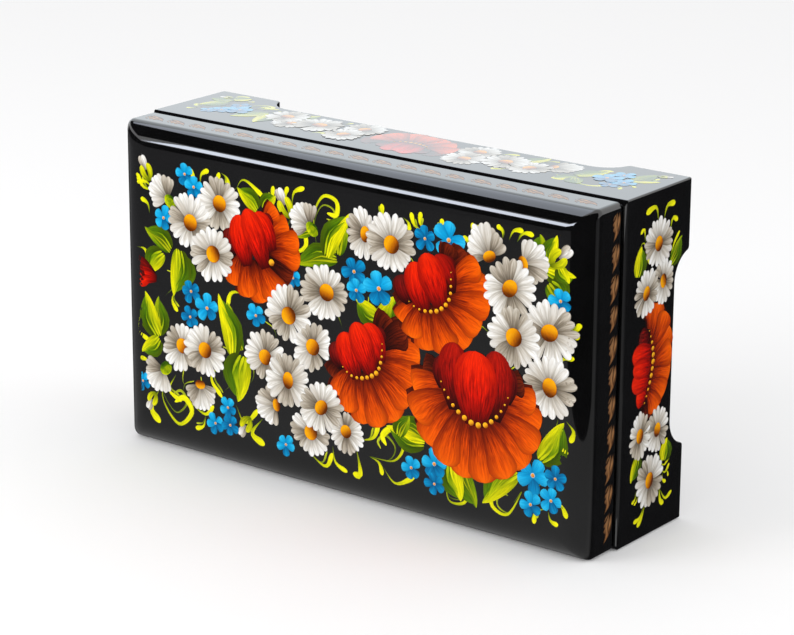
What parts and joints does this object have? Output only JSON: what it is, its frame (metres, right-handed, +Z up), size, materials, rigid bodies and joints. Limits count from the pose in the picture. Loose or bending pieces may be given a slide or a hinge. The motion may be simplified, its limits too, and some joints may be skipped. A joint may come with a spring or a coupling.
{
  "type": "painted lacquer box",
  "caption": "Shallow black lacquer box on bracket feet with a lift-off lid, its lid and walls painted with folk flowers; it stands on one long wall.",
  "frame": {"origin": "middle of the footprint on the surface that the box stands on, below the middle of its outer size", "axes": "+X along the long side to the viewer's right, -Y the way the painted lid faces and lifts off, +Y towards the feet, +Z up"},
  "size_m": [0.254, 0.0716, 0.15],
  "materials": {
    "black_lacquer": "high gloss black lacquer with painted flowers under clear varnish",
    "inside_lacquer": "satin black lacquer",
    "velvet": "dark red velvet on card",
    "bare_wood": "sanded, unpainted"
  },
  "bodies": {
    "box": {"wall_upper": "black_lacquer", "wall_lower": "black_lacquer", "wall_left": "black_lacquer", "wall_right": "black_lacquer", "rim_strip_upper": "inside_lacquer", "rim_strip_lower": "inside_lacquer", "rim_strip_left": "inside_lacquer", "rim_strip_right": "inside_lacquer", "bottom_board": "inside_lacquer", "floor_lining": "velvet", "corner_block_lower_left": "bare_wood", "corner_block_upper_left": "bare_wood", "corner_block_lower_right": "bare_wood", "corner_block_upper_right": "bare_wood"},
    "lid": {"lid_board": "black_lacquer", "lid_rail_upper": "black_lacquer", "lid_rail_lower": "black_lacquer", "lid_rail_left": "black_lacquer", "lid_rail_right": "black_lacquer", "lid_lining": "velvet"}
  },
  "joints": [
    {"name": "lid_lift", "type": "slide", "parent": "box", "child": "lid", "axis": [0, -1, 0], "range_m": [0, 0.06]}
  ]
}
